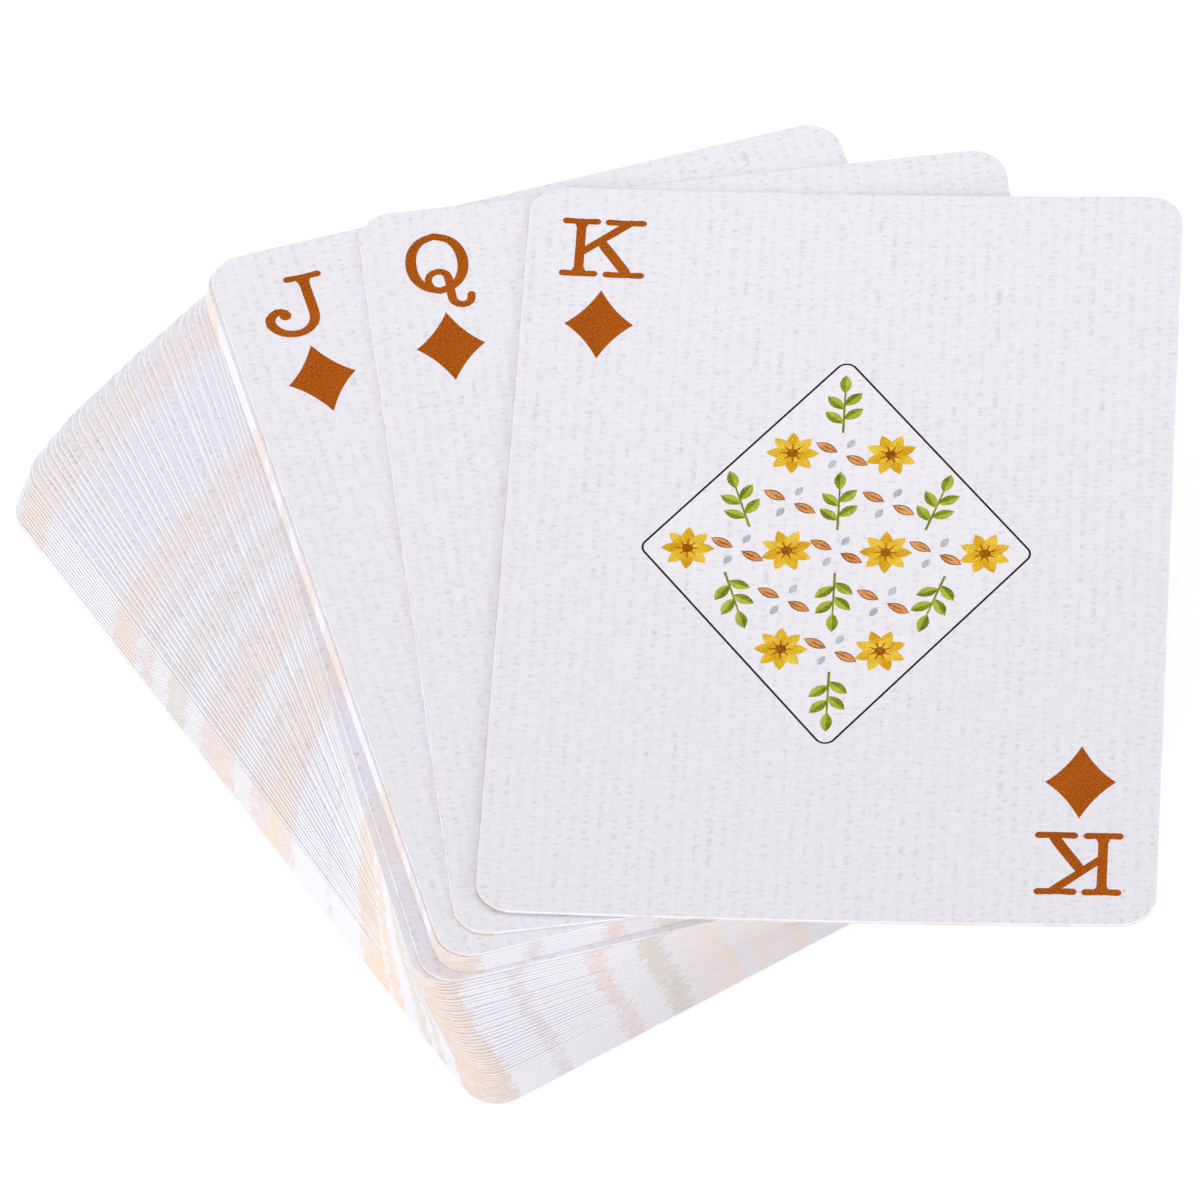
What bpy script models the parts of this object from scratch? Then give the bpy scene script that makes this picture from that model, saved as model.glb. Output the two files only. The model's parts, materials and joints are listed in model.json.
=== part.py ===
"""A deck of playing cards spread into a fan by hand, fifty-four cards lying on a table.

The bottom card lies square to the axes, its centre over the origin and its back at height zero.
The long side of that card runs along Y. Lengths are in metres and turns in degrees.
"""
import math

import bmesh
import bpy
from mathutils import Vector

MM = 0.001

# One card, die cut from laminated stock
CARD_WIDTH = 63.0 * MM
CARD_HEIGHT = 88.0 * MM
CARD_THICKNESS = 0.29 * MM
CORNER_RADIUS = 3.5 * MM
CORNER_SEGMENTS = 8

# Air that stays between two cards of the heap
AIR_GAP = 0.02 * MM

# Turning centres in the squared deck, from the card's left long side and its near short side.
# The block is the squared packet under the jack, and the stray is the one card that slid below it.
CENTRES = {
    "king": (17.8 * MM, -3.55 * MM),
    "queen": (19.5 * MM, -1.7 * MM),
    "jack": (22.5 * MM, 2.1 * MM),
    "block": (22.5 * MM, 3.1 * MM),
    "stray": (20.8 * MM, 8.7 * MM),
    "fan": (21.4 * MM, 11.2 * MM),
}

# Packets of the spread from the top down: number of cards, clockwise turn of the first card
# and of the last card away from the squared deck, and the centre that they turned about
PACKETS = (
    (1, 35.7, 35.7, "king"),
    (1, 25.6, 25.6, "queen"),
    (1, 16.6, 16.6, "jack"),
    (7, 16.5, 16.3, "block"),
    (1, 17.4, 17.4, "stray"),
    (3, 17.8, 17.0, "fan"),
    (1, 16.35, 16.35, "fan"),
    (2, 15.8, 15.65, "fan"),
    (2, 14.9, 14.45, "fan"),
    (2, 14.05, 13.95, "fan"),
    (3, 13.0, 12.05, "fan"),
    (2, 11.15, 10.85, "fan"),
    (2, 10.2, 9.95, "fan"),
    (2, 9.05, 8.55, "fan"),
    (4, 8.0, 5.9, "fan"),
    (4, 5.1, 3.85, "fan"),
    (3, 3.25, 2.55, "fan"),
    (1, 1.9, 1.9, "fan"),
    (12, 1.6, 0.0, "fan"),
)

# Order of the cards from the top down
SUITS = ("diamonds", "clubs", "hearts", "spades")
RANKS = ("king", "queen", "jack", "ten", "nine", "eight", "seven",
         "six", "five", "four", "three", "two", "ace")
JOKERS = ("red_joker", "black_joker")

# Coated white card stock
STOCK_COLOUR = (0.815, 0.791, 0.847, 1.0)
STOCK_ROUGHNESS = 0.42


def clear_scene():
    for old in list(bpy.data.objects):
        bpy.data.objects.remove(old, do_unlink=True)


def card_names():
    """Names of the cards from the top of the heap to the bottom."""
    suited = [f"{rank}_of_{suit}" for suit in SUITS for rank in RANKS]
    return suited + list(JOKERS)


def spread():
    """Clockwise turn and turning centre of every card, from the top down."""
    places = []
    for count, first, last, centre in PACKETS:
        step = (last - first) / max(count - 1, 1)
        places += [(first + step * n, CENTRES[centre]) for n in range(count)]
    return places


def stock_material(name):
    """White stock with the low sheen of a coated face."""
    material = bpy.data.materials.new(f"{name}_stock")
    material.use_nodes = True
    shader = material.node_tree.nodes["Principled BSDF"]
    shader.inputs["Base Color"].default_value = STOCK_COLOUR
    shader.inputs["Roughness"].default_value = STOCK_ROUGHNESS
    shader.inputs["Metallic"].default_value = 0.0
    return material


def card_mesh(name, centre):
    """A sheet with rounded corners, its underside at height zero and its turning centre at the origin."""
    from_left, from_near = centre
    left, right = -from_left, CARD_WIDTH - from_left
    near, far = -from_near, CARD_HEIGHT - from_near

    sheet = bmesh.new()
    outline = ((left, near), (right, near), (right, far), (left, far))
    corners = [sheet.verts.new((x, y, 0.0)) for x, y in outline]
    sheet.faces.new(corners)
    bmesh.ops.bevel(sheet, geom=corners, offset=CORNER_RADIUS, offset_type="OFFSET",
                    segments=CORNER_SEGMENTS, profile=0.5, affect="VERTICES")
    lifted = bmesh.ops.extrude_face_region(sheet, geom=sheet.faces[:])
    top = [item for item in lifted["geom"] if isinstance(item, bmesh.types.BMVert)]
    bmesh.ops.translate(sheet, verts=top, vec=Vector((0.0, 0.0, CARD_THICKNESS)))
    bmesh.ops.recalc_face_normals(sheet, faces=sheet.faces[:])

    mesh = bpy.data.meshes.new(name)
    sheet.to_mesh(mesh)
    sheet.free()
    mesh.shade_smooth()
    mesh.set_sharp_from_angle(angle=math.radians(30.0))
    return mesh


def lay_card(name, turn, centre, height, deck):
    """One card on the heap, its origin on the upright line that it turns about."""
    card = bpy.data.objects.new(name, card_mesh(name, centre))
    card.data.materials.append(stock_material(name))
    bpy.context.collection.objects.link(card)
    from_left, from_near = centre
    card.location = (from_left - CARD_WIDTH / 2, from_near - CARD_HEIGHT / 2, height)
    card.rotation_euler = (0.0, 0.0, -math.radians(turn))
    card.parent = deck


def build_deck():
    deck = bpy.data.objects.new("deck", None)
    bpy.context.collection.objects.link(deck)
    pitch = CARD_THICKNESS + AIR_GAP
    names = card_names()
    for level, (name, (turn, centre)) in enumerate(zip(reversed(names), reversed(spread()))):
        lay_card(name, turn, centre, level * pitch, deck)


clear_scene()
build_deck()
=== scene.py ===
import json
import math
import random

import bpy
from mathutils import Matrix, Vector
from mathutils.geometry import delaunay_2d_cdt


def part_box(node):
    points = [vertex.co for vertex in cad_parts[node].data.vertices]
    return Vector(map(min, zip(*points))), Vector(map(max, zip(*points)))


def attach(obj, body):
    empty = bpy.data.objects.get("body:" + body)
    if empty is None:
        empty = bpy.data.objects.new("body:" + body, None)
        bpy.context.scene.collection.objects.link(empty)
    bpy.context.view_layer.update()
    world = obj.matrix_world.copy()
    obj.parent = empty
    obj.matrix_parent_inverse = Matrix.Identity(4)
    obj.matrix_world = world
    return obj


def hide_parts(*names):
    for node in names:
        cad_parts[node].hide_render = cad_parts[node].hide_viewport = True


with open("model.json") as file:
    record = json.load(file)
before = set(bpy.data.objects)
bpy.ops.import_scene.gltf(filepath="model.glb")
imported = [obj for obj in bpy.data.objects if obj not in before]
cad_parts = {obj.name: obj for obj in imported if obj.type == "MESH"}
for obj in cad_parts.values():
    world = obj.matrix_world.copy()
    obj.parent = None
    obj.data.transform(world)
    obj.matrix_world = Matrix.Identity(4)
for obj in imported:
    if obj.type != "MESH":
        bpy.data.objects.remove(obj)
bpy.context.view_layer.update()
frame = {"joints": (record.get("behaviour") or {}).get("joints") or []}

# The two jokers
# A playing card is two plies of white paper glued together, printed on both sides, varnished, and
# die cut to a rectangle with round corners. The jokers lie lowest in the deck and carry a plain star.
MM = 0.001
card_low, card_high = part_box("black_joker")

# Lengths are in mm in the card's own frame, with its centre at zero. The die rolls the upper edge
# over and leaves a small burr along the lower one.
WIDTH, HEIGHT, THICKNESS = (card_high - card_low) / MM
CORNER_RADIUS = 3.5
CORNER_STEPS = 8
EDGE_ROUND = 0.06
EDGE_BURR = 0.01
TURNS = {joint["child"]: joint for joint in frame["joints"]}


def linear(code):
    channels = [int(code[i:i + 2], 16) / 255 for i in (1, 3, 5)]
    return [c / 12.92 if c <= 0.04045 else ((c + 0.055) / 1.055) ** 2.4 for c in channels] + [1.0]


def add(tree, kind, inputs=None, **settings):
    node = tree.nodes.new(kind)
    for name, value in settings.items():
        setattr(node, name, value)
    for name, value in (inputs or {}).items():
        if isinstance(value, bpy.types.NodeSocket):
            tree.links.new(value, node.inputs[name])
        else:
            node.inputs[name].default_value = value
    return node


def blank_material(name):
    material = bpy.data.materials.new(name)
    material.use_nodes = True
    tree = material.node_tree
    tree.nodes.clear()
    surface = add(tree, "ShaderNodeBsdfPrincipled")
    add(tree, "ShaderNodeOutputMaterial", {"Surface": surface.outputs["BSDF"]})
    return material, tree, surface


# Linen-pattern print on coated paper: a pale lavender ground of fine crossed yarns, with short soft
# grey dashes that stack in columns, and a few reddish fibres, under a varnish of low sheen. The sizes
# are those of the printed threads, and each card shows another cut of the same cloth. The paper's
# tooth is finer than this, and is drawn as coarse as it needs to show.
LINEN_COLUMN = 1.28
LINEN_SWAY = 0.6
LINEN_DASH = (0.74, 0.40)
LINEN_PATCH = 5.0
LINEN_YARNS = ((0.22, 2.0), (2.0, 0.30))
LINEN_FIBRE = 0.60
PAPER_TOOTH = 0.25
CLOTH_SHIFT = (47.0, 61.0, 0.0)


def linen_print(name, ground, slub, fibre):
    material, tree, surface = blank_material(name)
    flat = add(tree, "ShaderNodeAttribute", attribute_name="sheet")
    slip = add(tree, "ShaderNodeAttribute", attribute_name="slip")
    sheet = add(tree, "ShaderNodeVectorMath",
                {0: slip.outputs["Fac"], 1: CLOTH_SHIFT, 2: flat.outputs["Vector"]},
                operation="MULTIPLY_ADD").outputs["Vector"]
    place = add(tree, "ShaderNodeSeparateXYZ", {"Vector": sheet})
    slow = add(tree, "ShaderNodeMapping", {"Vector": sheet, "Scale": (0.7, 0.05, 0.0)})
    sway = add(tree, "ShaderNodeTexNoise",
               {"Vector": slow.outputs["Vector"], "Scale": 1.0, "Detail": 1.0})
    swayed = add(tree, "ShaderNodeMath",
                 {0: sway.outputs["Fac"], 1: LINEN_SWAY, 2: place.outputs["X"]}, operation="MULTIPLY_ADD")
    column = add(tree, "ShaderNodeMath", {0: swayed.outputs[0], 1: LINEN_COLUMN}, operation="DIVIDE")
    cycle = add(tree, "ShaderNodeMath", {0: column.outputs[0]}, operation="FRACT")
    centred = add(tree, "ShaderNodeMath", {0: cycle.outputs[0], 1: 0.5}, operation="SUBTRACT")
    apart = add(tree, "ShaderNodeMath", {0: centred.outputs[0]}, operation="ABSOLUTE")
    thread = add(tree, "ShaderNodeMapRange",
                 {"Value": apart.outputs[0], "From Min": 0.06, "From Max": 0.40,
                  "To Min": 0.22, "To Max": 0.0}, interpolation_type="SMOOTHSTEP")
    knots = add(tree, "ShaderNodeMapping",
                {"Vector": sheet, "Scale": (1 / LINEN_DASH[0], 1 / LINEN_DASH[1], 0.0)})
    clump = add(tree, "ShaderNodeTexNoise",
                {"Vector": knots.outputs["Vector"], "Scale": 1.0, "Detail": 0.0})
    pulled = add(tree, "ShaderNodeMath", {0: clump.outputs["Fac"], 1: thread.outputs[0]}, operation="ADD")
    slubs = add(tree, "ShaderNodeMapRange",
                {"Value": pulled.outputs[0], "From Min": 0.66, "From Max": 1.12})
    patch = add(tree, "ShaderNodeTexNoise", {"Vector": sheet, "Scale": 1 / LINEN_PATCH, "Detail": 2.0})
    patches = add(tree, "ShaderNodeMapRange",
                  {"Value": patch.outputs["Fac"], "From Min": 0.35, "From Max": 0.62,
                   "To Min": 0.55, "To Max": 1.0})
    dark = add(tree, "ShaderNodeMath", {0: slubs.outputs[0], 1: patches.outputs[0]}, operation="MULTIPLY")
    cloth = []
    for across, along in LINEN_YARNS:
        laid = add(tree, "ShaderNodeMapping", {"Vector": sheet, "Scale": (1 / across, 1 / along, 0.0)})
        yarn = add(tree, "ShaderNodeTexNoise",
                   {"Vector": laid.outputs["Vector"], "Scale": 1.0, "Detail": 1.0})
        cloth.append(yarn.outputs["Fac"])
    crossed = add(tree, "ShaderNodeMath", {0: cloth[0], 1: cloth[1]}, operation="ADD")
    yarns = add(tree, "ShaderNodeMapRange",
                {"Value": crossed.outputs[0], "From Min": 0.75, "From Max": 1.25, "To Max": 0.30})
    weave = add(tree, "ShaderNodeMath", {0: dark.outputs[0], 1: yarns.outputs[0]},
                operation="ADD", use_clamp=True)
    toned = add(tree, "ShaderNodeMix",
                {"Factor": weave.outputs[0], 6: linear(ground), 7: linear(slub)}, data_type="RGBA")
    spots = add(tree, "ShaderNodeMapping",
                {"Vector": sheet, "Location": (7.0, 3.0, 0.0),
                 "Scale": (1 / LINEN_FIBRE, 1 / LINEN_FIBRE, 0.0)})
    spot = add(tree, "ShaderNodeTexNoise",
               {"Vector": spots.outputs["Vector"], "Scale": 1.0, "Detail": 0.0})
    fibres = add(tree, "ShaderNodeMapRange",
                 {"Value": spot.outputs["Fac"], "From Min": 0.74, "From Max": 0.86, "To Max": 0.42})
    flecked = add(tree, "ShaderNodeMix",
                  {"Factor": fibres.outputs[0], 6: toned.outputs[2], 7: linear(fibre)}, data_type="RGBA")
    tooth = add(tree, "ShaderNodeTexNoise", {"Vector": sheet, "Scale": 1 / PAPER_TOOTH, "Detail": 3.0})
    height = add(tree, "ShaderNodeMath",
                 {0: weave.outputs[0], 1: -0.5, 2: tooth.outputs["Fac"]}, operation="MULTIPLY_ADD")
    bump = add(tree, "ShaderNodeBump",
               {"Strength": 0.25, "Distance": 0.02 * MM, "Height": height.outputs[0]})
    sheen = add(tree, "ShaderNodeMapRange",
                {"Value": tooth.outputs["Fac"], "To Min": 0.40, "To Max": 0.56})
    surface.inputs["Specular IOR Level"].default_value = 0.2
    tree.links.new(flecked.outputs[2], surface.inputs["Base Color"])
    tree.links.new(sheen.outputs[0], surface.inputs["Roughness"])
    tree.links.new(bump.outputs["Normal"], surface.inputs["Normal"])
    return material


# Offset litho ink under varnish: one solid colour that breaks into a fine halftone grain, shaded by a
# wash of a deeper colour. The wash is the size in mm of its pools.
HALFTONE = 0.15


def litho_ink(name, light, deep, wash, pooled=1.0):
    material, tree, surface = blank_material(name)
    sheet = add(tree, "ShaderNodeAttribute", attribute_name="sheet").outputs["Vector"]
    grain = add(tree, "ShaderNodeTexNoise", {"Vector": sheet, "Scale": 1 / HALFTONE, "Detail": 0.0})
    pool = add(tree, "ShaderNodeTexNoise", {"Vector": sheet, "Scale": 1 / wash, "Detail": 2.0})
    both = add(tree, "ShaderNodeMath",
               {0: pool.outputs["Fac"], 1: pooled, 2: grain.outputs["Fac"]}, operation="MULTIPLY_ADD")
    shade = add(tree, "ShaderNodeMapRange",
                {"Value": both.outputs[0], "From Min": 0.26 + pooled / 2, "From Max": 0.74 + pooled / 2})
    toned = add(tree, "ShaderNodeMix",
                {"Factor": shade.outputs[0], 6: linear(light), 7: linear(deep)}, data_type="RGBA")
    bump = add(tree, "ShaderNodeBump",
               {"Strength": 0.2, "Distance": 0.01 * MM, "Height": grain.outputs["Fac"]})
    sheen = add(tree, "ShaderNodeMapRange",
                {"Value": grain.outputs["Fac"], "To Min": 0.36, "To Max": 0.50})
    surface.inputs["Specular IOR Level"].default_value = 0.02
    tree.links.new(toned.outputs[2], surface.inputs["Base Color"])
    tree.links.new(sheen.outputs[0], surface.inputs["Roughness"])
    tree.links.new(bump.outputs["Normal"], surface.inputs["Normal"])
    return material


INKS = {
    "ground": linen_print("linen_print_on_coated_paper", "#F2EFF6", "#DAD7DF", "#DDB4BB"),
    "back ground": linen_print("linen_print_on_card_back", "#F2EFF3", "#DCD8DF", "#DDB8BC"),
    "orange": litho_ink("litho_ink_burnt_orange", "#C2681C", "#903E02", 6.0, 0.3),
    "black": litho_ink("litho_ink_warm_black", "#2E282B", "#151214", 6.0, 0.3),
    "petal": litho_ink("litho_ink_petal_yellow", "#F6D456", "#DDAA12", 1.6),
    "petal deep": litho_ink("litho_ink_petal_gold", "#EFC334", "#D09410", 1.6),
    "eye": litho_ink("litho_ink_ochre_brown", "#BE7418", "#834208", 0.8),
    "leaf light": litho_ink("litho_ink_leaf_yellow_green", "#C6C454", "#98A02C", 1.4),
    "leaf dark": litho_ink("litho_ink_leaf_olive", "#97A02C", "#5F7016", 1.4),
    "drop": litho_ink("litho_ink_leaf_orange", "#EDB176", "#CE7A34", 1.2),
    "rim": litho_ink("litho_ink_leaf_brown", "#A05C2C", "#6E3412", 1.2),
    "seed": litho_ink("litho_ink_blue_grey", "#CBD5DA", "#A4B2BA", 1.2),
}

# Tints of the back print that bleed over the cut edge: start and end in mm and the colour. The left
# side runs from its far end and the near side from its left corner. The back print is the same both
# ways up, so the other two sides have the same tints turned round.
TINTS = {"orange": "#F3D8C0", "cream": "#F1D8B6", "pink": "#EED7D4", "rose": "#F2E8E6",
         "sand": "#F6E8DD", "olive": "#DFDACD", "dash": "#E0DBE2", "tan": "#E6CFBD"}
FLOWER_TINTS = ("orange", "cream", "sand")
LONG_TINTS = ((2.5, 7.2, "orange"), (20.0, 24.4, "orange"), (25.2, 27.4, "pink"),
              (30.0, 33.4, "olive"), (36.3, 39.0, "pink"), (39.0, 42.4, "orange"),
              (45.4, 48.2, "pink"), (48.2, 51.7, "cream"), (51.9, 53.3, "pink"),
              (59.5, 60.4, "dash"), (66.2, 70.8, "cream"), (71.4, 73.4, "orange"),
              (76.2, 78.2, "olive"), (79.2, 80.6, "olive"), (83.2, 88.0, "tan"))
NEAR_TINTS = ((0.0, 3.3, "tan"), (7.8, 9.2, "dash"), (15.5, 17.2, "pink"), (20.4, 22.8, "olive"),
              (23.6, 26.6, "rose"), (26.8, 28.4, "sand"), (29.4, 33.2, "rose"), (33.6, 35.6, "sand"),
              (42.0, 46.6, "cream"), (53.0, 55.4, "olive"))

# Die-cut edge of laminated card: white paper, rolled over at the top by the die. The rolled top is
# painted near white as a highlight, and the wall below a greyer tone of the paper as painted shade.
# The knife drags the back print up the edge as an uneven wash in blots that darkens along the lower
# ply, partly from the print and partly as painted shade between the cards, and it stains the painted
# highlight a little. Paper fibres, drawn coarser than they are so that they show, break up the sheen.
BLOT = 0.9
PAPER_FIBRE = 0.3


def cut_edge(name, ply, drag_and_shade, rolled_top_highlight):
    material, tree, surface = blank_material(name)
    sheet = add(tree, "ShaderNodeAttribute", attribute_name="sheet").outputs["Vector"]
    slip = add(tree, "ShaderNodeAttribute", attribute_name="slip").outputs["Fac"]
    place = add(tree, "ShaderNodeSeparateXYZ", {"Vector": sheet})
    tints = {}
    for axis, across, length, bands in (("Y", "X", HEIGHT, LONG_TINTS), ("X", "Y", WIDTH, NEAR_TINTS)):
        facing = add(tree, "ShaderNodeMath", {0: place.outputs[across]}, operation="SIGN")
        if axis == "X":
            facing = add(tree, "ShaderNodeMath", {0: facing.outputs[0], 1: -1.0}, operation="MULTIPLY")
        run = add(tree, "ShaderNodeMath",
                  {0: place.outputs[axis], 1: facing.outputs[0], 2: length / 2}, operation="MULTIPLY_ADD")
        slid = add(tree, "ShaderNodeMath", {0: run.outputs[0], 1: slip}, operation="ADD")
        share = add(tree, "ShaderNodeMath", {0: slid.outputs[0], 1: length}, operation="DIVIDE")
        ramp = add(tree, "ShaderNodeValToRGB", {"Fac": share.outputs[0]})
        ramp.color_ramp.interpolation = "CONSTANT"
        ramp.color_ramp.elements[0].color = linear(ply)
        ramp.color_ramp.elements[1].position = 1.0
        ramp.color_ramp.elements[1].color = linear(ply)
        for start, end, tint in bands:
            for edge, shade in ((start, TINTS[tint]), (end, ply)):
                stop = ramp.color_ramp.elements.new(min(edge / length, 0.999))
                stop.color = linear(shade)
        tints[axis] = ramp.outputs["Color"]
    deep = []
    for axis, length in (("X", WIDTH), ("Y", HEIGHT)):
        out = add(tree, "ShaderNodeMath", {0: place.outputs[axis]}, operation="ABSOLUTE")
        deep.append(add(tree, "ShaderNodeMath", {0: out.outputs[0], 1: length / 2}, operation="SUBTRACT"))
    long_side = add(tree, "ShaderNodeMath", {0: deep[0].outputs[0], 1: deep[1].outputs[0]},
                    operation="GREATER_THAN")
    tint = add(tree, "ShaderNodeMix",
               {"Factor": long_side.outputs[0], 6: tints["X"], 7: tints["Y"]}, data_type="RGBA")
    card_seed = add(tree, "ShaderNodeMath", {0: slip, 1: 40.0}, operation="MULTIPLY")
    blot = add(tree, "ShaderNodeTexNoise",
               {"Vector": sheet, "W": card_seed.outputs[0], "Scale": 1 / BLOT, "Detail": 2.0},
               noise_dimensions="4D")
    blots = add(tree, "ShaderNodeMapRange",
                {"Value": blot.outputs["Fac"], "From Min": 0.34, "From Max": 0.56,
                 "To Min": 0.2, "To Max": 1.0})
    washed = add(tree, "ShaderNodeMix",
                 {"Factor": blots.outputs[0], 6: linear(ply), 7: tint.outputs[2]}, data_type="RGBA")
    bare = add(tree, "ShaderNodeVectorMath",
               {0: washed.outputs[2], 1: linear(ply)[:3]}, operation="DISTANCE")
    inked = add(tree, "ShaderNodeMapRange",
                {"Value": bare.outputs["Value"], "From Min": 0.01, "From Max": 0.12})
    # The dragged print is darker towards the lower ply: partly the print, partly painted shade between
    # the cards.
    low = add(tree, "ShaderNodeMapRange",
              {"Value": place.outputs["Z"], "From Min": THICKNESS * 0.10, "From Max": THICKNESS * 0.45,
               "To Min": 0.35, "To Max": 0.0})
    smear_and_shade = add(tree, "ShaderNodeMath", {0: low.outputs[0], 1: inked.outputs[0]}, operation="MULTIPLY")
    darker = add(tree, "ShaderNodeMix",
                 {"Factor": 1.0, 6: washed.outputs[2], 7: linear(drag_and_shade)},
                 data_type="RGBA", blend_type="MULTIPLY")
    lined = add(tree, "ShaderNodeMix",
                {"Factor": smear_and_shade.outputs[0], 6: washed.outputs[2], 7: darker.outputs[2]},
                data_type="RGBA")
    # The rolled top is painted near white as a highlight, and the dragged print stains it a little.
    stain = add(tree, "ShaderNodeMath", {0: inked.outputs[0], 1: 0.4}, operation="MULTIPLY")
    stained_highlight = add(tree, "ShaderNodeMix",
                  {"Factor": stain.outputs[0], 6: linear(rolled_top_highlight), 7: washed.outputs[2]}, data_type="RGBA")
    on_top = add(tree, "ShaderNodeMath",
                 {0: place.outputs["Z"], 1: THICKNESS - EDGE_ROUND - 0.01}, operation="GREATER_THAN")
    topped = add(tree, "ShaderNodeMix",
                 {"Factor": on_top.outputs[0], 6: lined.outputs[2], 7: stained_highlight.outputs[2]},
                 data_type="RGBA")
    fibre = add(tree, "ShaderNodeTexNoise", {"Vector": sheet, "Scale": 1 / PAPER_FIBRE, "Detail": 3.0})
    bump = add(tree, "ShaderNodeBump",
               {"Strength": 0.3, "Distance": 0.02 * MM, "Height": fibre.outputs["Fac"]})
    sheen = add(tree, "ShaderNodeMapRange",
                {"Value": fibre.outputs["Fac"], "To Min": 0.60, "To Max": 0.80})
    tree.links.new(topped.outputs[2], surface.inputs["Base Color"])
    tree.links.new(sheen.outputs[0], surface.inputs["Roughness"])
    tree.links.new(bump.outputs["Normal"], surface.inputs["Normal"])
    return material


# Wall in a greyer tone as painted shade, lower ply partly painted shade, rolled top as painted highlight.
CUT_EDGE = cut_edge("die_cut_laminated_paper_edge", "#E7E4EC", "#D8C0B2", "#FDFBFF")

# The die gives every card the same blank: the flat printed sheets are pressed apart to the card's
# thickness with a slightly rounded edge, curled if the card is, turned about its centre and laid down.
# Points closer than the seam are one.
SEAM = 0.0005


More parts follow.
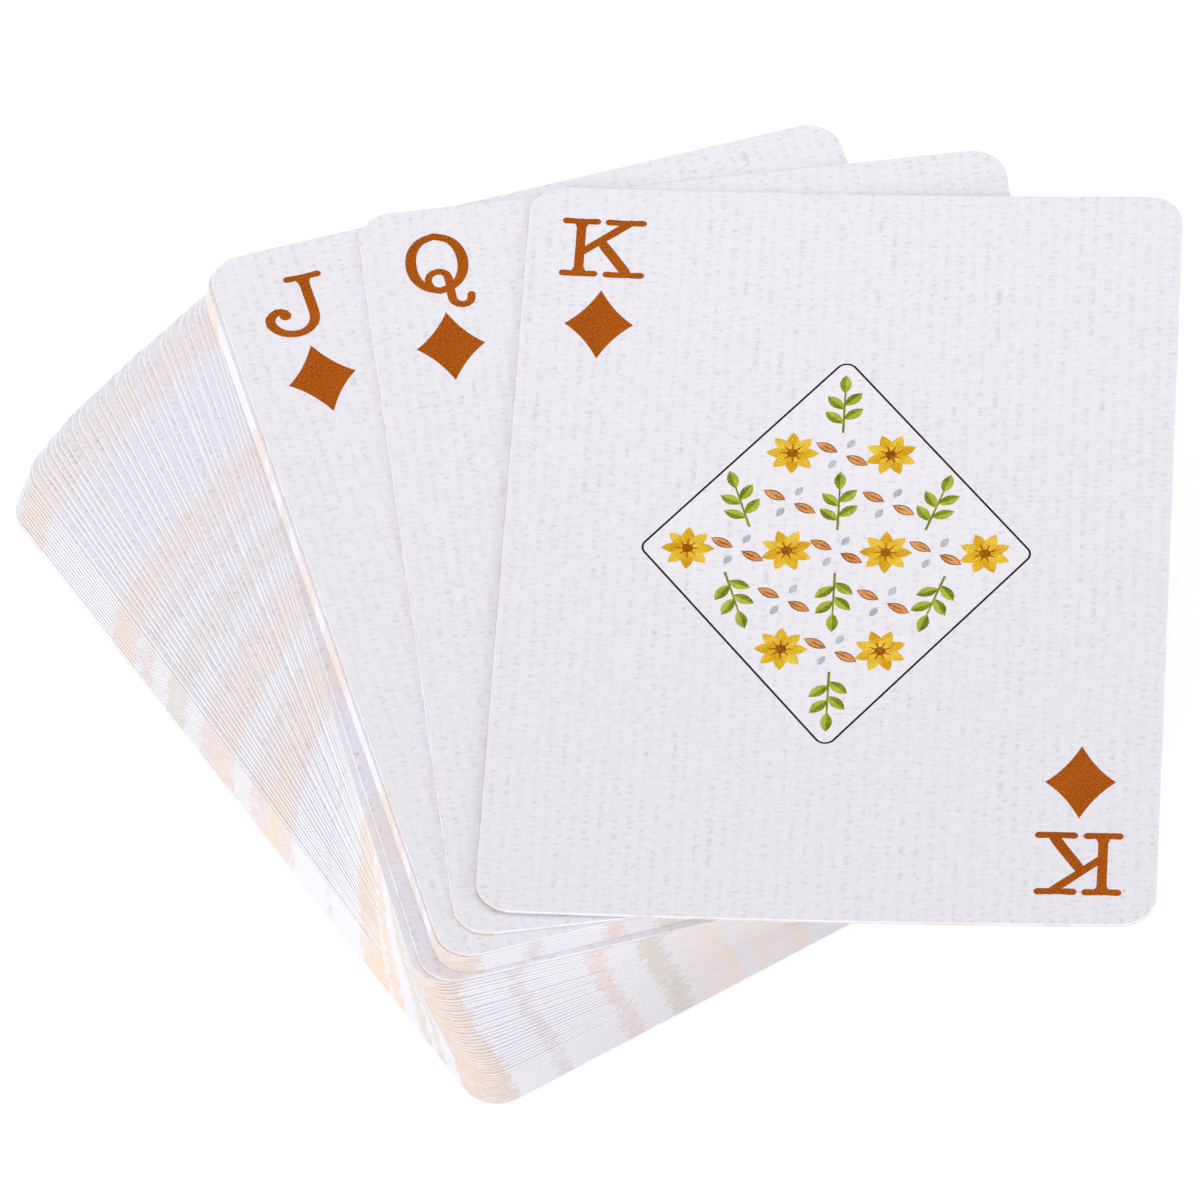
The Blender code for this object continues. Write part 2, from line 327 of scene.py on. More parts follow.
def die_cut_tree():
    tree = bpy.data.node_groups.new("die_cut_card", "GeometryNodeTree")
    kinds = {"Sheets": "Geometry", "Width": "Float", "Height": "Float", "Thickness": "Float",
             "Edge Round": "Float", "Edge Burr": "Float", "Bow": "Float", "Twist": "Float",
             "Roll": "Float", "Turn": "Float", "Centre": "Vector", "Lift": "Float",
             "Slip": "Float", "Edge": "Material"}
    for name, kind in kinds.items():
        tree.interface.new_socket(name, in_out="INPUT", socket_type="NodeSocket" + kind)
    tree.interface.new_socket("Card", in_out="OUTPUT", socket_type="NodeSocketGeometry")
    size = add(tree, "NodeGroupInput").outputs
    front = add(tree, "GeometryNodeInputNamedAttribute", {"Name": "front"}, data_type="BOOLEAN")
    sheets = add(tree, "GeometryNodeSeparateGeometry",
                 {"Geometry": size["Sheets"], "Selection": front.outputs[0]}, domain="FACE")
    scales = []
    for side in ("Width", "Height"):
        pressed = add(tree, "ShaderNodeMath", {0: size["Edge Round"], 1: -2.0, 2: size[side]},
                      operation="MULTIPLY_ADD")
        scale = add(tree, "ShaderNodeMath", {0: size[side], 1: pressed.outputs[0]}, operation="DIVIDE")
        scales.append(scale.outputs[0])
    wider = add(tree, "ShaderNodeCombineXYZ", {"X": scales[0], "Y": scales[1], "Z": 1.0})
    above = add(tree, "ShaderNodeMath", {0: size["Thickness"], 1: size["Edge Burr"]},
                operation="SUBTRACT")
    wall = add(tree, "ShaderNodeMath", {0: above.outputs[0], 1: size["Edge Round"]},
               operation="SUBTRACT")
    shape = sheets.outputs["Selection"]
    top = None
    for rise, change in ((size["Edge Burr"], "MULTIPLY"), (wall.outputs[0], None),
                         (size["Edge Round"], "DIVIDE")):
        raised = add(tree, "GeometryNodeExtrudeMesh",
                     {"Mesh": shape, "Offset": (0.0, 0.0, 1.0), "Offset Scale": rise,
                      "Individual": False}, mode="FACES")
        if top:
            tree.links.new(top, raised.inputs["Selection"])
        top = raised.outputs["Top"]
        shape = add(tree, "GeometryNodeStoreNamedAttribute",
                    {"Geometry": raised.outputs["Mesh"], "Selection": raised.outputs["Side"],
                     "Name": "cut", "Value": True},
                    data_type="BOOLEAN", domain="FACE").outputs["Geometry"]
        if change:
            now = add(tree, "GeometryNodeInputPosition")
            grown = add(tree, "ShaderNodeVectorMath", {0: now.outputs[0], 1: wider.outputs[0]},
                        operation=change)
            shape = add(tree, "GeometryNodeSetPosition",
                        {"Geometry": shape, "Selection": top, "Position": grown.outputs[0]}
                        ).outputs["Geometry"]
    joined = add(tree, "GeometryNodeJoinGeometry", {"Geometry": sheets.outputs["Inverted"]})
    tree.links.new(shape, joined.inputs["Geometry"])
    closed = add(tree, "GeometryNodeMergeByDistance",
                 {"Geometry": joined.outputs[0], "Distance": SEAM * MM})
    now = add(tree, "GeometryNodeInputPosition")
    in_mm = add(tree, "ShaderNodeVectorMath", {0: now.outputs[0], "Scale": 1 / MM}, operation="SCALE")
    marked = add(tree, "GeometryNodeStoreNamedAttribute",
                 {"Geometry": closed.outputs[0], "Name": "sheet", "Value": in_mm.outputs[0]},
                 data_type="FLOAT_VECTOR", domain="POINT")
    slipped = add(tree, "GeometryNodeStoreNamedAttribute",
                  {"Geometry": marked.outputs[0], "Name": "slip", "Value": size["Slip"]},
                  data_type="FLOAT", domain="POINT")
    parts = add(tree, "ShaderNodeSeparateXYZ", {"Vector": now.outputs[0]})
    share = {}
    for axis, side in (("X", "Width"), ("Y", "Height")):
        half = add(tree, "ShaderNodeMath", {0: size[side], 1: 2.0}, operation="DIVIDE")
        share[axis] = add(tree, "ShaderNodeMath", {0: parts.outputs[axis], 1: half.outputs[0]},
                          operation="DIVIDE").outputs[0]
    slope = add(tree, "ShaderNodeMath", {0: share["X"], 1: size["Bow"], 2: size["Roll"]},
                operation="MULTIPLY_ADD")
    lean = add(tree, "ShaderNodeMath", {0: share["Y"], 1: size["Twist"], 2: slope.outputs[0]},
               operation="MULTIPLY_ADD")
    rise = add(tree, "ShaderNodeMath", {0: share["X"], 1: lean.outputs[0], 2: size["Lift"]},
               operation="MULTIPLY_ADD")
    up = add(tree, "ShaderNodeCombineXYZ", {"Z": rise.outputs[0]})
    spun = add(tree, "ShaderNodeVectorRotate",
               {"Vector": now.outputs[0], "Center": size["Centre"], "Angle": size["Turn"]},
               rotation_type="Z_AXIS")
    laid = add(tree, "GeometryNodeSetPosition",
               {"Geometry": slipped.outputs[0], "Position": spun.outputs[0], "Offset": up.outputs[0]})
    real = add(tree, "GeometryNodeRealizeInstances", {"Geometry": laid.outputs[0]})
    cut = add(tree, "GeometryNodeInputNamedAttribute", {"Name": "cut"}, data_type="BOOLEAN")
    edged = add(tree, "GeometryNodeSetMaterial",
                {"Geometry": real.outputs[0], "Selection": cut.outputs[0], "Material": size["Edge"]})
    add(tree, "NodeGroupOutput", {"Card": edged.outputs[0]})
    return tree


DIE_CUT = die_cut_tree()


def rounded_rectangle(width, height, radius, steps):
    loop = []
    for quarter, (sx, sy) in enumerate(((1, 1), (-1, 1), (-1, -1), (1, -1))):
        for step in range(steps + 1):
            angle = math.radians(90 * (quarter + step / steps))
            loop.append((sx * (width / 2 - radius) + radius * math.cos(angle),
                         sy * (height / 2 - radius) + radius * math.sin(angle)))
    return loop


def facing_up(loop):
    area = sum(a[0] * b[1] - b[0] * a[1] for a, b in zip(loop, loop[1:] + loop[:1]))
    return loop if area > 0 else loop[::-1]


# A printed sheet is cut into ground and ink along the outline of each mark, the last mark on top. The
# grid is the spacing of the points between the marks.
def printed_sheet(outline, marks, ground, grid):
    loops = [outline] + [facing_up(loop) for ink, loop in marks]
    points, faces = [], []
    for loop in loops:
        faces.append(list(range(len(points), len(points) + len(loop))))
        points += [Vector(p) for p in loop]
    columns, rows = round(WIDTH / grid), round(HEIGHT / grid)
    points += [Vector(((i / columns - 0.5) * WIDTH, (j / rows - 0.5) * HEIGHT))
               for i in range(1, columns) for j in range(1, rows)]
    spots, _, triangles, _, _, owners = delaunay_2d_cdt(points, [], faces, 1, SEAM, True)
    sheet = [(list(triangle), marks[max(owner) - 1][0] if max(owner) else ground)
             for triangle, owner in zip(triangles, owners) if 0 in owner]
    return [tuple(spot) for spot in spots], sheet


def rim(spots, sheet):
    sides = {side for triangle, ink in sheet for side in zip(triangle, triangle[1:] + triangle[:1])}
    after = {a: b for a, b in sides if (b, a) not in sides}
    loop = [min(after)]
    while after[loop[-1]] != loop[0]:
        loop.append(after[loop[-1]])
    return [spots[i] for i in loop]


def turned(loop, angle, x=0.0, y=0.0, scale=1.0):
    c = math.cos(math.radians(angle)) * scale
    s = math.sin(math.radians(angle)) * scale
    return [(x + c * px - s * py, y + s * px + c * py) for px, py in loop]


def both_ways(marks):
    return marks + [(ink, [(-x, -y) for x, y in loop]) for ink, loop in marks]


# A blade is the lens shape of a petal or a leaf, from its foot at the origin up along Y.
def half_blade(length, width, steps=5):
    side = [(width / 2 * math.sin(math.pi * i / steps) ** 0.85, length * i / steps)
            for i in range(1, steps)]
    return [(0.0, 0.0)] + side + [(0.0, length)]


def blade(length, width, steps=5):
    half = half_blade(length, width, steps)
    return half + [(-x, y) for x, y in half[-2:0:-1]]


def disc(x, y, radius, sides=10):
    turns = [2 * math.pi * i / sides for i in range(sides)]
    return [(x + radius * math.cos(turn), y + radius * math.sin(turn)) for turn in turns]


# The print's motifs are a daisy, a sprig, a fallen leaf and a seed. Each shape is a length and a
# width, and a sprig's leaves stand at a height on its stem and lean by an angle.
PETALS = 8
PETAL, PETAL_VEIN, EYE_RADIUS = (2.55, 1.25), (1.25, 0.16), 0.55
STEM = [(-0.11, -2.9), (0.11, -2.9), (0.07, 1.6), (-0.07, 1.6)]
LEAVES = ((-1.9, 52), (-1.5, -52), (-0.4, 46), (0.0, -46), (1.3, 0))
LEAF, FALLEN, FALLEN_VEIN, SEED = (2.0, 1.0), (2.1, 0.95), (1.5, 0.12), (1.1, 0.6)


def daisy(x, y, scale=1.0, lean=0.0):
    marks = []
    angles = [lean + 360 / PETALS * petal for petal in range(PETALS)]
    for petal, angle in enumerate(angles):
        ink = "petal" if petal % 2 else "petal deep"
        marks.append((ink, turned(blade(*PETAL), angle, x, y, scale)))
    for angle in angles:
        marks.append(("eye", turned(blade(*PETAL_VEIN, 3), angle, x, y, scale)))
    return marks + [("eye", disc(x, y, EYE_RADIUS * scale))]


def sprig(x, y, lean, scale=1.0):
    marks = [("leaf dark", turned(STEM, lean, x, y, scale))]
    for level, angle in LEAVES:
        for ink, side in (("leaf light", 1), ("leaf dark", -1)):
            half = [(side * px, py) for px, py in half_blade(*LEAF)]
            leaf = turned(half, angle, 0.0, level)
            marks.append((ink, turned(leaf, lean, x, y, scale)))
    return marks


def fallen_leaf(x, y, lean, scale=1.0):
    inner = [(px * 0.78, 0.12 + py * 0.9) for px, py in blade(*FALLEN)]
    return [("rim", turned(blade(*FALLEN), lean, x, y, scale)),
            ("drop", turned(inner, lean, x, y, scale)),
            ("rim", turned(blade(*FALLEN_VEIN, 3), lean, x, y, scale))]


def seed(x, y, lean, scale=1.0):
    return [("seed", turned(blade(*SEED), lean, x, y, scale))]


# What crosses the border of the back print is what tints the cut edge: daisies for the warm tints,
# sprigs for olive and leaves for the rest. Inward is the way from the border into the card.
def border_mark(tint, length, x, y, inward, sprig_lean, leaf_lean):
    ix, iy = inward
    if tint in FLOWER_TINTS:
        return daisy(x + 0.4 * ix, y + 0.4 * iy, length / 5.0)
    if tint == "olive":
        return sprig(x + 1.2 * ix, y + 1.2 * iy, sprig_lean, 0.8)
    return fallen_leaf(x - 0.6 * ix, y - 0.6 * iy, leaf_lean)


# The back is an all-over print that runs off the edge, the same both ways up, in columns that drop by
# half a row. The middle row of an even column comes from the turned half.
BACK_COLUMN, BACK_ROW = 10.4, 10.6
BACK_GRID, FRONT_GRID = 12.0, 9.0

back_marks = []
for start, end, tint in LONG_TINTS[:-1]:
    y = HEIGHT / 2 - (start + end) / 2
    back_marks += border_mark(tint, end - start, -WIDTH / 2, y, (1, 0), -90, -70)
for start, end, tint in NEAR_TINTS[1:]:
    x = (start + end) / 2 - WIDTH / 2
    back_marks += border_mark(tint, end - start, x, -HEIGHT / 2, (0, 1), 0, 15)
for column in range(-2, 3):
    for row in range(4):
        if row == 0 and column >= 0 and column % 2 == 0:
            continue
        x = column * BACK_COLUMN
        y = row * BACK_ROW + (BACK_ROW / 2 if column % 2 else 0.0)
        if (row + column) % 2:
            back_marks += sprig(x, y, 24 if column % 2 else -24)
        else:
            back_marks += daisy(x, y, 1.0, 11 * column)
        back_marks += fallen_leaf(x + 3.4, y + 3.2, 30 + 40 * column)
        back_marks += seed(x - 3.6, y + 2.8, 60 * row)
back_spots, back_sheet = printed_sheet(
    rounded_rectangle(WIDTH - 2 * EDGE_ROUND, HEIGHT - 2 * EDGE_ROUND,
                      CORNER_RADIUS - EDGE_ROUND, CORNER_STEPS),
    both_ways(back_marks), "back ground", BACK_GRID)
CARD_OUTLINE = rim(back_spots, back_sheet)

# The knife is set a little high, so the whole front print stands low on the card. Each card also slips
# a little along the back print, which moves its tints.
PRINT_DRIFT = 0.26
SLIP_MOST = 0.55


def make_card(name, marks, grid=FRONT_GRID, bow=0.0, twist=0.0, roll=0.0, raised=0.0):
    drifted = [(ink, [(x, y - PRINT_DRIFT) for x, y in loop]) for ink, loop in marks]
    spots, sheet = printed_sheet(CARD_OUTLINE, drifted, "ground", grid)
    inks = sorted({ink for face, ink in sheet + back_sheet})
    mesh = bpy.data.meshes.new("printed_" + name)
    shift = len(spots)
    faces = [face for face, ink in sheet]
    faces += [[shift + i for i in reversed(face)] for face, ink in back_sheet]
    mesh.from_pydata([(x * MM, y * MM, 0.0) for x, y in spots + back_spots], [], faces)
    for ink in inks:
        mesh.materials.append(INKS[ink])
    mesh.polygons.foreach_set("material_index", [inks.index(ink) for face, ink in sheet + back_sheet])
    front = mesh.attributes.new("front", "BOOLEAN", "FACE")
    front.data.foreach_set("value", [True] * len(sheet) + [False] * len(back_sheet))
    card = bpy.data.objects.new("printed_" + name, mesh)
    bpy.context.scene.collection.objects.link(card)
    joint = TURNS.get(name)
    values = {"Width": WIDTH * MM, "Height": HEIGHT * MM, "Thickness": THICKNESS * MM,
              "Edge Round": EDGE_ROUND * MM, "Edge Burr": EDGE_BURR * MM, "Edge": CUT_EDGE,
              "Bow": bow * MM, "Twist": twist * MM, "Roll": roll * MM,
              "Turn": -math.radians(joint["range_deg"][1]) if joint else 0.0,
              "Centre": (joint["pos_m"][0], joint["pos_m"][1], 0.0) if joint else (0.0, 0.0, 0.0),
              "Lift": joint["pos_m"][2] + raised * MM if joint else 0.0,
              "Slip": random.Random(name).uniform(-SLIP_MOST, SLIP_MOST)}
    press = card.modifiers.new("die cut", "NODES")
    press.node_group = DIE_CUT
    for socket in DIE_CUT.interface.items_tree:
        if socket.in_out == "INPUT" and socket.name in values:
            press[socket.identifier] = values[socket.name]
    pressed = card.evaluated_get(bpy.context.evaluated_depsgraph_get())
    finished = bpy.data.meshes.new_from_object(pressed)
    card.modifiers.remove(press)
    card.data = finished
    bpy.data.meshes.remove(mesh)
    finished.name = "printed_" + name
    finished.shade_smooth()
    finished.set_sharp_from_angle(angle=math.radians(30))
    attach(card, name)
    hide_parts(name)
    return card


def star(x, y, radius, waist=0.42):
    reaches = [radius * (waist if i % 2 else 1.0) for i in range(10)]
    return [(x + reach * math.sin(math.pi * i / 5), y + reach * math.cos(math.pi * i / 5))
            for i, reach in enumerate(reaches)]


# A small star in two corners and a large one in the middle, with a fine outline round it.
CORNER_STAR = (-WIDTH / 2 + 7.4, HEIGHT / 2 - 8.0, 3.9)
OUTLINE_STAR, GAP_STAR, MIDDLE_STAR = 13.0, 11.6, 10.4

for name, ink in (("black_joker", "black"), ("red_joker", "orange")):
    middle = [(ink, star(0.0, 0.0, OUTLINE_STAR)), ("ground", star(0.0, 0.0, GAP_STAR)),
              (ink, star(0.0, 0.0, MIDDLE_STAR))]
    make_card(name, both_ways([(ink, star(*CORNER_STAR))]) + middle)

# The number cards
# Ace to ten of each suit, printed with a slab-serif figure and a suit pip in two corners and the
# traditional rows of pips between. Diamonds and hearts are burnt orange, clubs and spades black.

# One stroke of a figure is a pen line through points of x, y and width, in mm from the card's left
# side and far end, with round ends. The ink spreads a little beyond the drawn line.
INK_SPREAD = 0.06
PEN_STEP = 0.4


def pen(drawn):
    knots = [(x, y, wide + INK_SPREAD) for x, y, wide in drawn]
    ends = [knots[0]] + knots + [knots[-1]]
    line = []
    for a, b, c, d in zip(ends, ends[1:], ends[2:], ends[3:]):
        count = max(1, round(math.dist(b[:2], c[:2]) / PEN_STEP))
        for i in range(count):
            t = i / count
            line.append([0.5 * (2 * q + (r - p) * t + (2 * p - 5 * q + 4 * r - s) * t ** 2
                                + (3 * q - p - 3 * r + s) * t ** 3) for p, q, r, s in zip(a, b, c, d)])
    line.append(list(knots[-1]))
    left, right = [], []
    for i, (x, y, wide) in enumerate(line):
        before, after = line[max(i - 1, 0)], line[min(i + 1, len(line) - 1)]
        dx, dy = after[0] - before[0], after[1] - before[1]
        reach = wide / 2 / math.hypot(dx, dy)
        left.append((x - dy * reach, y + dx * reach))
        right.append((x + dy * reach, y - dx * reach))
    loops = [[left[i], left[i + 1], right[i + 1], right[i]] for i in range(len(line) - 1)]
    return loops + [disc(x, y, wide / 2, 14) for x, y, wide in (line[0], line[-1])]


# A bar is a serif that thins a little in the middle, and a post is an upright that flares at its ends.
def bar(x0, x1, y, thick=0.70):
    return [(x0, y, thick), ((x0 + x1) / 2, y + 0.06, thick * 0.88), (x1, y + 0.04, thick)]


def post(x, y0, y1, wide=0.86):
    return [(x, y0, wide * 0.6), (x, y0 + 0.25, wide * 1.6), (x, y0 + 0.8, wide * 1.06),
            (x, y0 + 1.5, wide), (x, y1 - 1.5, wide), (x, y1 - 0.8, wide * 1.06),
            (x, y1 - 0.25, wide * 1.6), (x, y1, wide * 0.6)]


FIGURES = {
    "ace": [[(7.0, 4.35, 0.6), (5.9, 7.6, 0.6), (4.8, 10.9, 0.7)],
            [(7.1, 4.4, 0.9), (8.4, 7.7, 0.95), (9.7, 10.9, 1.0)],
            [(6.0, 4.38, 0.6), (7.3, 4.38, 0.6)], [(5.7, 8.8, 0.55), (8.7, 8.8, 0.55)],
            bar(3.7, 6.2, 11.0), bar(8.3, 11.0, 11.0)],
    "two": [[(4.95, 6.05, 1.1), (4.75, 5.5, 0.75), (5.6, 4.55, 0.72), (7.1, 4.3, 0.72),
             (8.8, 4.9, 0.86), (9.1, 6.2, 0.9), (8.2, 7.7, 0.84), (6.4, 9.3, 0.76), (4.75, 10.9, 0.66)],
            [(4.75, 11.0, 0.66), (6.6, 10.85, 0.72), (8.4, 11.05, 0.74), (9.5, 10.8, 0.68),
             (9.75, 10.0, 0.6)]],
    "three": [[(4.95, 5.75, 1.05), (5.3, 4.75, 0.7), (7.0, 4.3, 0.7), (8.6, 4.9, 0.82),
               (8.6, 6.5, 0.82), (7.5, 7.35, 0.68), (6.4, 7.45, 0.62)],
              [(6.9, 7.4, 0.62), (8.6, 7.9, 0.8), (9.4, 9.2, 0.9), (8.6, 10.6, 0.82),
               (6.9, 11.1, 0.72), (5.1, 10.6, 0.72), (4.75, 9.6, 1.05)]],
    "four": [[(8.1, 4.4, 0.7), (6.2, 6.8, 0.62), (4.2, 9.25, 0.62)],
             [(4.2, 9.25, 0.62), (7.0, 9.25, 0.62), (10.3, 9.25, 0.62)],
             [(8.2, 4.35, 0.8), (8.2, 7.0, 0.86), (8.2, 10.2, 0.9), (8.2, 10.75, 1.35),
              (8.2, 11.0, 0.5)], bar(6.8, 9.7, 11.02)],
    "five": [[(5.3, 4.55, 0.68), (7.2, 4.6, 0.7), (9.3, 4.5, 0.66)],
             [(5.3, 4.55, 0.6), (5.15, 6.0, 0.6), (5.0, 7.6, 0.62)],
             [(5.05, 7.5, 0.62), (6.1, 6.95, 0.66), (7.6, 6.85, 0.76), (9.2, 7.9, 0.88),
              (9.3, 9.5, 0.9), (8.3, 10.8, 0.78), (6.8, 11.1, 0.7), (5.1, 10.6, 0.72), (4.8, 9.7, 1.05)]],
    "six": [[(9.0, 5.5, 1.0), (8.6, 4.7, 0.68), (7.4, 4.35, 0.68), (5.7, 5.3, 0.82), (4.95, 7.4, 0.9),
             (5.1, 9.3, 0.9), (6.0, 10.7, 0.76), (7.2, 11.05, 0.7), (8.7, 10.4, 0.82), (9.3, 9.0, 0.88),
             (8.7, 7.6, 0.8), (7.3, 7.05, 0.68), (5.9, 7.5, 0.64), (5.2, 8.4, 0.62)]],
    "seven": [[(4.75, 5.7, 0.6), (4.85, 4.7, 0.66), (6.2, 4.5, 0.72), (7.8, 4.75, 0.76), (9.6, 4.5, 0.7)],
              [(9.6, 4.5, 0.6), (8.3, 6.5, 0.72), (7.2, 8.6, 0.88), (6.9, 10.9, 1.0)]],
    "eight": [[(7.1, 4.35, 0.66), (5.7, 4.9, 0.78), (5.4, 5.9, 0.82), (6.2, 7.0, 0.78),
               (8.2, 8.1, 0.82), (9.2, 9.4, 0.88), (8.5, 10.7, 0.8), (7.1, 11.1, 0.7)],
              [(7.1, 11.1, 0.7), (5.6, 10.7, 0.8), (4.95, 9.4, 0.84), (5.8, 8.1, 0.74),
               (7.9, 7.0, 0.7), (8.8, 5.9, 0.78), (8.5, 4.9, 0.76), (7.1, 4.35, 0.66)]],
    "ten": [bar(3.3, 6.2, 11.02), post(4.75, 4.5, 11.0),
            [(3.3, 5.5, 0.6), (4.2, 4.9, 0.6), (4.75, 4.4, 0.66)],
            [(9.1, 4.35, 0.68), (7.6, 5.2, 0.8), (7.05, 7.7, 0.86), (7.6, 10.2, 0.8), (9.1, 11.08, 0.68)],
            [(9.1, 4.35, 0.68), (10.6, 5.2, 0.8), (11.15, 7.7, 0.86), (10.6, 10.2, 0.8),
             (9.1, 11.08, 0.68)]],
}

# A nine is the six turned upside down in its place.
FIGURES["nine"] = [[(14.2 - x, 15.42 - y, wide) for x, y, wide in stroke] for stroke in FIGURES["six"]]


def bend(a, b, c, d, steps=8):
    return [tuple((1 - t) ** 3 * p + 3 * (1 - t) ** 2 * t * q + 3 * (1 - t) * t ** 2 * r + t ** 3 * s
                  for p, q, r, s in zip(a, b, c, d)) for t in (i / steps for i in range(steps))]


def whole(side, top):
    return side + [top] + [(-x, y) for x, y in side[:0:-1]]


# Suit pips one unit high, upright about the origin, each from its right side.
heart_side = bend((0, -0.5), (0.06, -0.34), (0.49, -0.05), (0.49, 0.19))
heart_side += bend((0.49, 0.19), (0.49, 0.5), (0.12, 0.6), (0, 0.27))
diamond_side = bend((0, -0.5), (0.10, -0.30), (0.22, -0.13), (0.39, 0))
diamond_side += bend((0.39, 0), (0.22, 0.13), (0.10, 0.30), (0, 0.5))
spade_side = bend((0, -0.16), (0.1, -0.36), (0.46, -0.42), (0.46, -0.1))
spade_side += bend((0.46, -0.1), (0.46, 0.12), (0.07, 0.3), (0, 0.5))
pip_foot = [(-0.2, -0.5), (0.2, -0.5), (0.09, -0.42), (0.05, -0.3), (0.04, -0.05),
            (-0.04, -0.05), (-0.05, -0.3), (-0.09, -0.42)]
club_leaves = [disc(x, y, 0.235, 24) for x, y in ((0, 0.26), (-0.25, -0.09), (0.25, -0.09))]
PIPS = {
    "diamonds": [whole(diamond_side, (0, 0.5))],
    "hearts": [whole(heart_side, (0, 0.27))],
    "spades": [whole(spade_side, (0, 0.5)), pip_foot],
    "clubs": club_leaves + [disc(0, 0.02, 0.14), pip_foot],
}
SUIT_INK = {"diamonds": "orange", "hearts": "orange", "clubs": "black", "spades": "black"}


def pip(suit, x, y, tall, upright=True):
    return [(SUIT_INK[suit], turned(loop, 0 if upright else 180, x, y, tall)) for loop in PIPS[suit]]


# A corner pip stands below its figure, a little to the right of the middle, and clear of a long tail.
PIP_DOWN = 17.13
PIP_TALL = 8.52
PIP_CLEAR = 0.36
PIP_ASIDE = 0.09


def index_marks(strokes, suit):
    far = HEIGHT / 2 + PRINT_DRIFT
    marks = [(SUIT_INK[suit], [(x - WIDTH / 2, far - y) for x, y in loop])
             for stroke in strokes for loop in pen(stroke)]
    across = [x for ink, loop in marks for x, y in loop]
    lowest = min(y for ink, loop in marks for x, y in loop)
    y = min(far - PIP_DOWN, lowest - PIP_CLEAR - PIP_TALL / 2)
    return both_ways(marks + pip(suit, (min(across) + max(across)) / 2 + PIP_ASIDE, y, PIP_TALL))


# Rows of pips: across in columns of 11 mm and up in parts of 27 mm. Those above the middle come back
# upside down below it, and the seventh pip of a seven has no such partner.
ROW_ACROSS = 11.0
ROW_UP = 27.0
ROW_TALL = 11.0
ACE_TALL = 20.0
ROWS = {
    "ace": [(0, 0)], "two": [(0, 1)], "three": [(0, 1), (0, 0)], "four": [(1, 1), (-1, 1)],
    "five": [(1, 1), (-1, 1), (0, 0)], "six": [(1, 1), (-1, 1), (1, 0), (-1, 0)],
    "seven": [(1, 1), (-1, 1), (1, 0), (-1, 0)], "eight": [(1, 1), (-1, 1), (1, 0), (-1, 0), (0, 0.5)],
    "nine": [(1, 1), (-1, 1), (1, 0.34), (-1, 0.34), (0, 0)],
    "ten": [(1, 1), (-1, 1), (1, 0.34), (-1, 0.34), (0, 0.67)],
}


def row_marks(rank, suit):
    tall = ACE_TALL if rank == "ace" else ROW_TALL
    marks = []
    for across, up in ROWS[rank]:
        marks += pip(suit, across * ROW_ACROSS, up * ROW_UP, tall)
        if up > 0:
            marks += pip(suit, across * ROW_ACROSS, -up * ROW_UP, tall, False)
    return marks + (pip(suit, 0.0, ROW_UP / 2, tall) if rank == "seven" else [])


SUITS = ("spades", "hearts", "clubs", "diamonds")
for suit in SUITS:
    for rank in ROWS:
        make_card(f"{rank}_of_{suit}", index_marks(FIGURES[rank], suit) + row_marks(rank, suit))

# The court cards
# Jack, queen and king carry a letter and a pip in two corners and a lozenge panel in the middle, a
# whiter field with a thin black rule. The king of diamonds lies on top and has curled a little.
LETTERS = {
    "king": [bar(3.65, 6.61, 4.25), post(5.13, 4.2, 10.86, 0.87), bar(3.65, 6.61, 10.8),
             bar(7.78, 11.03, 4.33), bar(7.85, 11.13, 10.88),
             [(9.9, 4.36, 0.7), (8.73, 5.29, 0.8), (7.33, 6.46, 0.76), (5.38, 8.09, 0.76)],
             [(7.13, 6.81, 0.82), (7.63, 7.61, 0.97), (8.63, 9.06, 0.97), (9.43, 10.26, 0.98),
              (9.8, 10.82, 0.8)]],
    "queen": [[(7.14, 3.6, 0.77), (5.8, 4.15, 0.81), (4.93, 5.35, 0.94), (4.63, 7.03, 1.01),
               (4.93, 8.7, 0.94), (5.85, 9.92, 0.79), (7.14, 10.47, 0.73)],
              [(7.14, 3.6, 0.77), (8.5, 4.15, 0.81), (9.35, 5.35, 0.94), (9.65, 7.03, 1.01),
               (9.35, 8.7, 0.94), (8.45, 9.92, 0.79), (7.14, 10.47, 0.73)],
              [(6.45, 10.1, 0.55), (6.08, 9.3, 0.64), (6.3, 8.45, 0.66), (7.1, 8.05, 0.68),
               (7.85, 8.4, 0.73), (8.1, 9.4, 0.79), (8.12, 11.0, 0.81), (8.32, 12.0, 0.77),
               (9.1, 12.45, 0.73), (9.85, 12.1, 0.73), (10.02, 11.3, 0.73)]],
    "jack": [bar(7.13, 10.13, 4.32),
             [(8.63, 4.35, 0.54), (8.63, 4.6, 1.5), (8.63, 5.15, 1.02), (8.63, 6.1, 0.95),
              (8.63, 8.7, 0.95), (8.43, 9.9, 0.93), (7.63, 10.8, 0.82), (6.43, 11.1, 0.76),
              (5.13, 10.65, 0.8), (4.33, 9.6, 0.91), (4.38, 8.6, 0.91), (5.18, 8.0, 0.8),
              (5.83, 8.25, 0.86), (5.85, 8.6, 1.12)]],
}
INKS["panel"] = linen_print("linen_print_in_panel", "#F4F1F7", "#E0DBE6", "#E6C8CC")

# The panel's two diagonals, the radius of its corners and its rule, and how far the rule takes off the
# two diagonals, in rules. Sprigs, leaves and seeds are a little larger than on the back.
PANEL_WIDE, PANEL_TALL, PANEL_ROUND, PANEL_RULE = 37.45, 47.5, 1.15, 0.24
RULE_WIDE, RULE_TALL = 2.3, 2.9
PANEL_LEAF, PANEL_SEED = 1.15, 1.2


